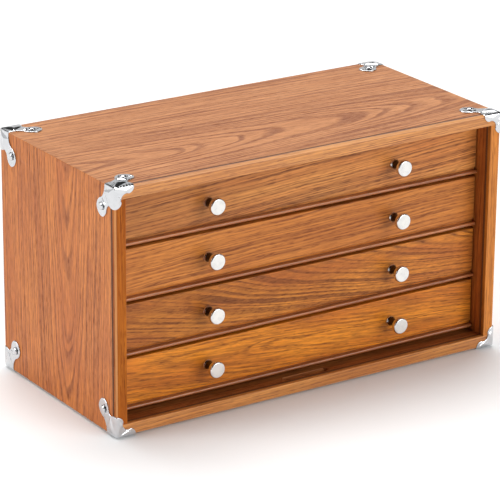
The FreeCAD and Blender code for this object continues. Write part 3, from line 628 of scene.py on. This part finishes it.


# %% [markdown]
# The knob's outline goes up its foot, in to a waist, and out to a flat head with a soft rim. Its
# waist is painted dark brown, as painted shade and dark reflection in the hollow under the head.
# That is written on the knob's points as a number that the metal reads.

# %% the knob and the nail
knob_low, knob_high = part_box("drawer_1_knobs")
knob_reach = (knob_high.y - knob_low.y) / MM
knob_radius = (knob_high.z - knob_low.z) / 2 / MM
knob = turned("knob_pattern", [
    (0, 0.02), (4.6, 0.02), (4.6, 0.02), (4.7, 1.0), (4.2, 1.9), (3.5, 3.0), (3.1, 5.0),
    (3.1, 8.0), (3.6, 10.4), (5.6, 11.6), (knob_radius - 0.2, 12.2), (knob_radius, 12.9),
    (knob_radius, knob_reach - 1.3), (knob_radius - 0.2, knob_reach - 0.5),
    (knob_radius - 0.7, knob_reach - 0.05), (knob_radius - 1.0, knob_reach),
    (knob_radius - 1.0, knob_reach), (0, knob_reach)], 64)
# the waist's painted shade comes in and goes out over these heights, in mm
WAIST_LOW, WAIST_HIGH = (1.6, 2.8), (11.3, 12.3)  # mm, where the brown comes in and goes out
tarnish = knob.data.attributes.new("tarnish", "FLOAT", "POINT")
for vertex, item in zip(knob.data.vertices, tarnish.data):
    height = vertex.co.z / MM
    rising = (height - WAIST_LOW[0]) / (WAIST_LOW[1] - WAIST_LOW[0])
    falling = (WAIST_HIGH[1] - height) / (WAIST_HIGH[1] - WAIST_HIGH[0])
    item.value = min(max(rising, 0), 1) * min(max(falling, 0), 1)
nail = turned("nail_pattern", [
    (0, -7.4), (0.5, -7.3), (1.3, -6.0), (1.3, -6.0), (1.3, -1.2), (1.3, -1.2), (3.1, -0.4),
    (3.25, 0.0), (3.2, 0.35), (2.4, 1.05), (1.2, 1.35), (0, 1.4)])
print("knob in mm:", round(2 * knob_radius, 1), "across,", round(knob_reach, 1), "long")

# %% [markdown]
# A screw's slot is a straight saw cut across a turned head. It could be modelled face by face, but
# a boolean does just what the saw does.

# %% slotted screws
SAW_LENGTH = 20  # mm, longer than any head is wide


def slotted(name, corners, depth, width):
    """A turned screw whose head, at height 0, has a saw cut across it."""
    screw = turned(name, corners, 32)
    scene.collection.objects.link(screw)
    saw = bmesh.new()
    cut = Matrix.Diagonal((SAW_LENGTH * MM, width * MM, 2 * depth * MM, 1))
    bmesh.ops.create_cube(saw, size=1, matrix=cut)
    blade = placed("saw", written("saw", saw))
    blade.location.z = max(h for _, h in corners) * MM
    cutter = screw.modifiers.new("saw cut", "BOOLEAN")
    cutter.object = blade
    cutter.solver = "EXACT"
    applied(screw)
    bpy.data.objects.remove(blade)
    scene.collection.objects.unlink(screw)
    screw.data.set_sharp_from_angle(angle=SHARP)
    return screw


# %% the two screws
wood_screw = slotted("wood_screw_pattern", [
    (0, -11.9), (0.4, -11.6), (1.2, -9.0), (1.2, -9.0), (1.2, -1.1), (1.2, -1.1), (2.25, -0.1),
    (2.25, -0.02), (2.2, 0.0), (2.2, 0.0), (0, 0.0)], 0.6, 0.6)
knob_screw = slotted("knob_screw_pattern", [
    (0, -16.6), (1.6, -16.6), (1.88, -16.2), (1.88, -16.2), (1.88, 0.0), (1.88, 0.0),
    (3.55, 0.0), (3.55, 0.0), (3.55, 1.5), (3.0, 2.05), (1.5, 2.2), (0, 2.2)], 1.0, 0.9)
print("screw faces:", len(wood_screw.data.polygons), len(knob_screw.data.polygons))

# %% [markdown]
# ## Plated metals
#
# The corners and the nails are zinc castings with bright chrome over nickel: the plate is smooth,
# and the casting under it isn't quite flat, so reflections bend. The knobs are turned, so theirs
# are crisp and very nearly true. The screws are dull zinc. Every metal keeps the shader's own IOR,
# and its colour, roughness and unevenness make the difference.

# %% metals
FINGER = 6  # mm, size of the dull spots that fingers leave
# the second tint is the painted shade of the knob's waist
SMUDGE_TINT, WAIST_SHADE_TINT = "#B9BBBE", "#4A4038"


def metal(name, tint, roughness, waves, wave_size, smudge=0.05):
    """A polished metal. waves is the depth of its unevenness and wave_size its spacing, in mm."""
    material = bpy.data.materials.new(name)
    material.use_nodes = True
    tree = material.node_tree
    shader = tree.nodes["Principled BSDF"]
    point = add(tree, "ShaderNodeTexCoord").outputs["Object"]
    uneven = add(tree, "ShaderNodeTexNoise",
                 {"Vector": point, "Scale": 1 / (wave_size * MM), "Detail": 1.0})
    handled = add(tree, "ShaderNodeTexNoise",
                  {"Vector": point, "Scale": 1 / (FINGER * MM), "Detail": 3.0})
    dull = add(tree, "ShaderNodeValToRGB", [handled.outputs["Fac"]],
               stops=[(0.42, 0.0), (0.62, 1.0)])
    rough = add(tree, "ShaderNodeMath", [dull.outputs[0], smudge, roughness],
                operation="MULTIPLY_ADD")
    tree.links.new(rough.outputs[0], shader.inputs["Roughness"])
    amount = add(tree, "ShaderNodeMath", [dull.outputs[0], 0.25], operation="MULTIPLY")
    colour = add(tree, "ShaderNodeMix", {0: amount.outputs[0], 6: linear(tint),
                                         7: linear(SMUDGE_TINT)}, data_type="RGBA")
    # the knob's waist is darkened towards that tint: painted shade and dark reflection
    painted_waist_shade = add(tree, "ShaderNodeAttribute", attribute_name="tarnish")
    with_waist_shade = add(tree, "ShaderNodeMix", {0: painted_waist_shade.outputs["Fac"], 6: colour.outputs[2],
                                          7: linear(WAIST_SHADE_TINT)}, data_type="RGBA")
    tree.links.new(with_waist_shade.outputs[2], shader.inputs["Base Color"])
    bump = add(tree, "ShaderNodeBump", {"Height": uneven.outputs["Fac"], "Strength": 1.0,
                                        "Distance": waves * MM})
    tree.links.new(bump.outputs[0], shader.inputs["Normal"])
    shader.inputs["Metallic"].default_value = 1.0
    return material


chrome_casting = metal("chrome_plated_casting", "#D3D4D6", 0.07, 0.16, 3.5)
nickel_turned = metal("nickel_plated_brass", "#E4E2DE", 0.12, 0.015, 3.0)
zinc_screw = metal("zinc_plated_steel", "#BEBDB6", 0.32, 0.02, 1.0)

# %% [markdown]
# ## Fasteners in their places
#
# The nails or screws of a kind are one shape in many places, which is what Geometry Nodes are for.
# The tree takes loose points, each with the way that its fastener faces, puts the turned pattern on
# each of them, and rolls each one by its own random angle, because nobody lines slots up. The
# places come from the frame: each fastener is one loose part of a CAD node.

# %% the repeat tree
repeat_tree, given = new_tree("repeat_pattern", {
    "Geometry": "Geometry", "Pattern": "Object", "Material": "Material", "Seed": "Int",
    "Roll": "Float"})
way = add(repeat_tree, "GeometryNodeInputNamedAttribute", {"Name": "facing"},
          data_type="FLOAT_VECTOR")
stand = add(repeat_tree, "FunctionNodeAlignRotationToVector", {"Vector": way.outputs[0]},
            axis="Z")
pattern = add(repeat_tree, "GeometryNodeObjectInfo", {"Object": given["Pattern"]})
copies = add(repeat_tree, "GeometryNodeInstanceOnPoints",
             {"Points": given["Geometry"], "Instance": pattern.outputs["Geometry"],
              "Rotation": stand.outputs[0]})
roll = add(repeat_tree, "FunctionNodeRandomValue", {"Max": given["Roll"], "Seed": given["Seed"]},
           data_type="FLOAT")
angles = add(repeat_tree, "ShaderNodeCombineXYZ", {"Z": roll.outputs["Value"]})
rolled = add(repeat_tree, "GeometryNodeRotateInstances",
             {"Instances": copies.outputs[0], "Rotation": angles.outputs[0]})
finish_tree(repeat_tree, rolled.outputs[0], given["Material"])


# %% [markdown]
# The frame holds all fasteners of a kind as one node. Its mesh falls apart into islands, and a walk
# along the edges finds them. An island's box gives the fastener's middle and where its head sits.

# %% where the fasteners are
def loose_parts(node):
    """The box of each separate solid of a CAD node, as a list of (lowest, highest)."""
    mesh = merged_copy(node)
    waiting, boxes = set(mesh.verts), []
    while waiting:
        found, edge_of_search = set(), [waiting.pop()]
        while edge_of_search:
            vertex = edge_of_search.pop()
            found.add(vertex.co.copy().freeze())
            for edge in vertex.link_edges:
                other = edge.other_vert(vertex)
                if other in waiting:
                    waiting.discard(other)
                    edge_of_search.append(other)
        boxes.append(tuple(Vector([pick(v[i] for v in found) for i in range(3)])
                           for pick in (min, max)))
    mesh.free()
    return boxes


def fasteners(node, pattern, material, slot, facing, sink, body, seed=1):
    """Repeat a pattern at each solid of a node. sink is how far the head's seat is from its end.

    facing returns the way a fastener's head points, from the middle of its solid.
    """
    points = []
    for low, high in loose_parts(node):
        middle = (low + high) / 2
        way = Vector(facing(middle))
        reach = abs((high - low).dot(way)) / 2
        points.append((middle + way * (reach - sink * MM), way))
    piece = grow(f"{node}_turned", repeat_tree, {
        "Pattern": pattern, "Material": material, "Seed": seed, "Roll": 2 * math.pi}, points)
    print(piece.name, len(points), "copies,", len(piece.data.polygons), "faces")
    return settle(piece, body, slot, node)


# %% fasteners
NEAR_SIDE = 8  # mm, a nail nearer than this to a side is driven into it
WOOD_HEAD, KNOB_HEAD = 0.0, 2.2  # mm, from a screw head's top to its pattern's origin
TO_FRONT, TO_BACK = (0, -1, 0), (0, 1, 0)


def nail_facing(middle):
    """A corner nail points out of the nearest side, or up or down where it is in a flat face."""
    side_gap = case_high.x - abs(middle.x)
    if side_gap < NEAR_SIDE * MM:
        return (math.copysign(1, middle.x), 0, 0)
    return (0, 0, 1 if middle.z > (case_low.z + case_high.z) / 2 else -1)


fasteners("back_panel_screws", wood_screw, zinc_screw, "screw_metal", lambda m: TO_BACK,
          WOOD_HEAD, "case", 3)
fasteners("runner_screws", wood_screw, zinc_screw, "screw_metal",
          lambda m: (-math.copysign(1, m.x), 0, 0), WOOD_HEAD, "case", 4)
for drawer in DRAWERS:
    fasteners(f"{drawer}_knobs", knob, nickel_turned, "knob_metal", lambda m: TO_FRONT,
              knob_reach, drawer, 5)
    fasteners(f"{drawer}_knob_screws", knob_screw, zinc_screw, "screw_metal",
              lambda m: TO_BACK, KNOB_HEAD, drawer, 6)

# %% [markdown]
# The nails under the case have flat heads, because the case stands on its castings there. The
# others are domed. Which way a nail faces tells the two kinds apart, and each kind gets its own
# pattern in the same tree. Both are sunk to the plate's own face, so a dome stands out by its own
# height.

# %% corner nails
DOME = 1.4  # mm
flat_nail = turned("flat_nail_pattern", [
    (0, -8.9), (0.5, -8.8), (1.3, -7.5), (1.3, -7.5), (1.3, -1.2), (1.3, -1.2), (3.2, -0.1),
    (3.25, -0.02), (3.1, 0.0), (3.1, 0.0), (0, 0.0)])
nail_points = {"domed": [], "flat": []}
for low, high in loose_parts("corner_nails"):
    middle = (low + high) / 2
    way = Vector(nail_facing(middle))
    seat = middle + way * abs((high - low).dot(way)) / 2
    kind = "flat" if way.z < 0 else "domed"
    nail_points[kind].append((seat - way * (0 if kind == "flat" else DOME * MM), way))
nail_sets = [grow(f"corner_nails_{kind}", repeat_tree, {
    "Pattern": pattern, "Material": chrome_casting, "Seed": 7, "Roll": 2 * math.pi},
    nail_points[kind]) for kind, pattern in (("domed", nail), ("flat", flat_nail))]
for nails in nail_sets:
    settle(nails, "case", "corner_metal", "corner_nails")
    print(nails.name, len(nails.data.polygons), "faces")

# %% [markdown]
# ## Type dividers
#
# Three thin strips stand in each drawer's housings, and part it into channels for lines of type.
# They are one board repeated, so the same tree places them, without any roll.

# %% dividers
DIVIDER_ROUND = 0.4  # mm


def strip_pattern(name, size, round_off):
    """A thin board round the origin, with its arrises taken off."""
    mesh = bmesh.new()
    bmesh.ops.create_cube(mesh, size=1, matrix=Matrix.Diagonal((*size, 1)))
    bmesh.ops.bevel(mesh, geom=mesh.edges[:], offset=round_off * MM, segments=2, profile=0.5,
                    affect="EDGES")
    return bpy.data.objects.new(name, written(name, mesh))


for drawer in DRAWERS:
    strips = loose_parts(f"{drawer}_dividers")
    low, high = strips[0]
    pattern = strip_pattern("divider_pattern", high - low, DIVIDER_ROUND)
    dividers = grow(f"{drawer}_dividers_set", repeat_tree, {
        "Pattern": pattern, "Material": bare_across, "Seed": 8, "Roll": 0.0},
        [((low + high) / 2, (0, 0, 1)) for low, high in strips])
    settle(dividers, drawer, "inner_wood", f"{drawer}_dividers")
    print(dividers.name, len(strips), "strips")

# %% [markdown]
# ## Cast corners
#
# A casting has no sharp edges at all: they are rounded in the mould, and polishing rounds them
# more. Bevelling each edge of such a shape is slow and gives a folded look. Melting the drawn shape
# does better: it is remeshed into small even cells, and then each point moves towards the average
# of its neighbours. The dish round each nail is pressed in afterwards, as a curve of the distance
# from the nail's axis.

# %% the casting's relief
CELL = 0.42  # mm, size of the casting's cells
THIN = 0.4  # the casting's thickness at the rim, as a part of the plate's gauge
PEAK = 1.55  # and at the top of its pillow
RISE = 6.0  # mm, from an edge of the case to where the pillow is full
CROWN = 6.0  # mm, width of the slope that rises from the rim
DISH_WIDTH = 5.0  # mm, radius of the dish round a nail
DISH_DEPTH = 1.0  # mm


def crown(distance, peak):
    """Thickness at a distance in millimetres from the rim, as a part of the gauge."""
    climb = min(distance / CROWN, 1.0)
    return THIN + (peak - THIN) * math.sqrt(1 - (1 - climb) ** 2)


def peak_at(point, out):
    """The pillow is full on a face, and falls to the plain gauge at an edge or under the case."""
    if out.z < 0:
        return 1.0
    inside = [min(c - low, high - c) / MM for c, low, high, o
              in zip(point, WOOD_LOW, WOOD_HIGH, out) if abs(o) < 0.05 * MM]
    rise = min(max(min(inside) / RISE, 0.0), 1.0) if len(inside) == 2 else 0.0
    return 1 + (PEAK - 1) * rise * rise * (3 - 2 * rise)


def dish(distance):
    """Depth of the dish at a distance from the nail's axis, both in millimetres."""
    if distance > DISH_WIDTH:
        return 0.0
    return DISH_DEPTH * math.sin(math.pi * (1 - distance / DISH_WIDTH)) ** 2


def above_wood(point):
    """How far a point stands out of the wooden case, along X, Y and Z."""
    return Vector([max(c - high, 0) - max(low - c, 0)
                   for c, low, high in zip(point, WOOD_LOW, WOOD_HIGH)])


WOODEN = [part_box(node) for node in ("top_edge", "bottom_edge", "back_panel", "left_panel",
                                    "right_panel", "top_panel", "bottom_panel")]
WOOD_LOW = Vector([min(low[i] for low, _ in WOODEN) for i in range(3)])
WOOD_HIGH = Vector([max(high[i] for _, high in WOODEN) for i in range(3)])
print("wooden case in mm:", [round(v / MM, 1) for v in WOOD_HIGH - WOOD_LOW])


# %% [markdown]
# ### The rim
#
# The pillow of a casting rises from its outline, curls and all, so the melt has to know how far
# each point is from that outline. The outline is where the plate's edge touches the wood, so it is
# taken from the CAD corner's own edges, as a row of points close together. The edges of the nail
# holes touch the wood too, and are left out.

# %% the casting's rim
CLEAR = 4.0  # mm, a rim point nearer than this to a nail belongs to the nail's hole
HOLE_REACH = 3.0  # mm, how far along a nail its hole can be
TOUCH = 0.01  # mm, nearer than this is touching
RIM_STEP = 0.5  # mm, from one rim point to the next


def rim_points(mesh, nails):
    """Points close together along a corner's rim, where it meets the wood."""
    points = []
    for edge in mesh.edges:
        ends = [vertex.co for vertex in edge.verts]
        touching = [sum(abs(c - limit) < TOUCH * MM for limit in limits)
                    for c, *limits in zip((ends[0] + ends[1]) / 2, WOOD_LOW, WOOD_HIGH)]
        flat = max(above_wood(end).length for end in ends) < TOUCH * MM
        turned_in = any(low - TOUCH * MM > c or c > high + TOUCH * MM
                        for end in ends for c, low, high in zip(end, WOOD_LOW, WOOD_HIGH))
        if not flat or turned_in or sum(touching) != 1:
            continue
        steps = max(int(edge.calc_length() / (RIM_STEP * MM)), 1)
        points += [ends[0].lerp(ends[1], i / steps) for i in range(steps + 1)]
    return [p for p in points
            if all((p - seat - way * (p - seat).dot(way)).length > CLEAR * MM
                   or abs((p - seat).dot(way)) > HOLE_REACH * MM for seat, way in nails)]


# %% [markdown]
# ### Melting the corners
#
# Each corner goes through four steps: cells, a first melt, the pillow and the dishes, and a last
# polish. Only points above the wood are moved, so the casting still sits flat on the case. A search
# tree finds the nearest rim point quickly, because a casting has thousands of points.

# %% corners
# %% corners
NEAR = 2.0  # mm, a nail within this of a corner's box is the corner's own
MELTS, POLISHES = 6, 3  # times that each point moves towards its neighbours


def smoothed(piece, name, times):
    """Add a smoothing step to a piece."""
    step = piece.modifiers.new(name, "SMOOTH")
    step.factor = 0.5
    step.iterations = times


def cast_corner(node, nails):
    """Melt a CAD corner into a casting: crowned, with a dish round each nail."""
    low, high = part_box(node)
    nails = [(seat, way) for seat, way in nails
             if all(a - NEAR * MM < c < b + NEAR * MM for a, c, b in zip(low, seat, high))]
    mesh = merged_copy(node)
    rim = rim_points(mesh, nails)
    tree = KDTree(len(rim))
    for index, point in enumerate(rim):
        tree.insert(point, index)
    tree.balance()
    piece = as_piece(f"{node}_casting", mesh, "case", chrome_casting, "corner_metal", node)
    cells = piece.modifiers.new("cells", "REMESH")
    cells.mode = "VOXEL"
    cells.voxel_size = CELL * MM
    smoothed(piece, "melt", MELTS)
    applied(piece)
    for vertex in piece.data.vertices:
        place, normal = vertex.co.copy(), vertex.normal
        out = above_wood(place)
        if out.length > 0.1 * MM:
            distance = tree.find(place - out)[2] / MM
            place += out * (crown(distance, peak_at(place, out)) - 1)
        for seat, way in nails:
            offset = vertex.co - seat
            if abs(offset.dot(way)) < 1.0 * MM and normal.dot(way) > 0.3:
                place -= way * dish((offset - way * offset.dot(way)).length / MM) * MM
        vertex.co = place
    smoothed(piece, "polish", POLISHES)
    applied(piece)
    piece.data.shade_smooth()
    piece.data.materials.clear()
    piece.data.materials.append(chrome_casting)
    return piece, len(rim)


nail_axes = nail_points["domed"] + nail_points["flat"]
corner_nodes = sorted(node for node in frame["nodes"]
                      if node.startswith("corner_") and node != "corner_nails")
for node in corner_nodes:
    casting, rim_count = cast_corner(node, nail_axes)
    print(casting.name, len(casting.data.polygons), "faces,", rim_count, "rim points")

# %% [markdown]
# ## Floor and light
#
# The case stands on white paper, far wider than the view. It takes the soft shadow where the
# corners touch, and it belongs to the studio, not to the part.

# %% floor
FLOOR_SIZE = 12.0  # metres
floor_mesh = bmesh.new()
bmesh.ops.create_grid(floor_mesh, x_segments=2, y_segments=2, size=FLOOR_SIZE / 2)
floor = placed("floor", written("floor", floor_mesh))
floor.location.z = cad_box[0].z
paper = bpy.data.materials.new("white_paper_sweep")
paper.use_nodes = True
paper_shader = paper.node_tree.nodes["Principled BSDF"]
paper_shader.inputs["Base Color"].default_value = linear("#F7F7F7")
paper_shader.inputs["Roughness"].default_value = 0.9
paper_shader.inputs["Specular IOR Level"].default_value = 0.1
floor.data.materials.append(paper)
print("floor at", round(floor.location.z / MM, 1), "mm")

# %% [markdown]
# Polished metal shows whatever stands round it, so the room is built too: a bright band of wall,
# and above it a dark ceiling, which gives the plating its black lines. The wall in front is dimmer
# than the wall behind. An image of a real studio would do the same, but this needs only two
# gradients.

# %% the room
world = bpy.data.worlds.new("studio")
scene.world = world
world.use_nodes = True
sky = world.node_tree
direction = add(sky, "ShaderNodeSeparateXYZ",
                [add(sky, "ShaderNodeTexCoord").outputs["Generated"]])
band = add(sky, "ShaderNodeValToRGB", [direction.outputs["Z"]],
           stops=[(0.0, 0.75), (0.4, 0.75), (0.5, 0.04), (1.0, 0.04)])
behind = add(sky, "ShaderNodeMapRange", {"Value": direction.outputs["Y"], "From Min": -0.4,
                                         "From Max": 0.3, "To Min": 0.25, "To Max": 1.0})
wall = add(sky, "ShaderNodeMath", [band.outputs[0], behind.outputs[0]], operation="MULTIPLY")
sky.links.new(wall.outputs[0], sky.nodes["Background"].inputs["Color"])


# %% [markdown]
# Three wide lamps give the light its direction. One hangs high at the back and lights the top. One
# stands low in front, a little to the right, and throws the knobs' shadows to the left. One fills
# the left side. They are far away and round, so that the light is even over the whole case, and
# their width makes the shadows soft.

# %% lamps
def soft_lamp(name, azimuth, elevation, spread, strength):
    """A far, round, soft lamp. Azimuth 0 is in front of the case, and 90 is on its right."""
    data = bpy.data.lights.new(name, "SUN")
    data.angle = math.radians(spread)
    data.energy = strength
    lamp = placed(name, data)
    azimuth, elevation = math.radians(azimuth), math.radians(elevation)
    lamp.rotation_mode = "QUATERNION"
    lamp.rotation_quaternion = Vector((
        math.sin(azimuth) * math.cos(elevation), -math.cos(azimuth) * math.cos(elevation),
        math.sin(elevation))).to_track_quat("Z", "Y")
    return lamp


middle = (cad_box[0] + cad_box[1]) / 2
soft_lamp("top_lamp", 160, 70, 44, 2.5)
soft_lamp("key_lamp", 22, 20, 46, 1.9)
soft_lamp("side_lamp", -105, 30, 36, 1.5)
scene.view_settings.view_transform = "Standard"

# %% [markdown]
# ## Camera
#
# A long lens from well back keeps the case's edges nearly parallel. The camera stands to the left
# of the front and looks down on it by about twenty degrees.

# %% camera
CAMERA_PLACE = Vector((-1.2567, -1.9023, 0.9207))  # metres
AZIMUTH, ELEVATION, ROLL = (math.radians(a) for a in (-33.40, 19.87, 0.45))
camera_data = bpy.data.cameras.new("camera")
camera_data.lens, camera_data.sensor_width = 206.2, 36.0  # mm
camera_data.clip_end = 50.0
camera = placed("camera", camera_data)
back = Vector((math.sin(AZIMUTH) * math.cos(ELEVATION), -math.cos(AZIMUTH) * math.cos(ELEVATION),
               math.sin(ELEVATION)))
right = Vector((math.cos(AZIMUTH), math.sin(AZIMUTH), 0))
up = back.cross(right)
rolled_right = math.cos(ROLL) * right + math.sin(ROLL) * up
rolled_up = math.cos(ROLL) * up - math.sin(ROLL) * right
turn = Matrix((rolled_right, rolled_up, back)).transposed()
camera.matrix_world = Matrix.Translation(CAMERA_PLACE) @ turn.to_4x4()
scene.camera = camera
print("camera is", round((CAMERA_PLACE - middle).length, 2), "m from the case")
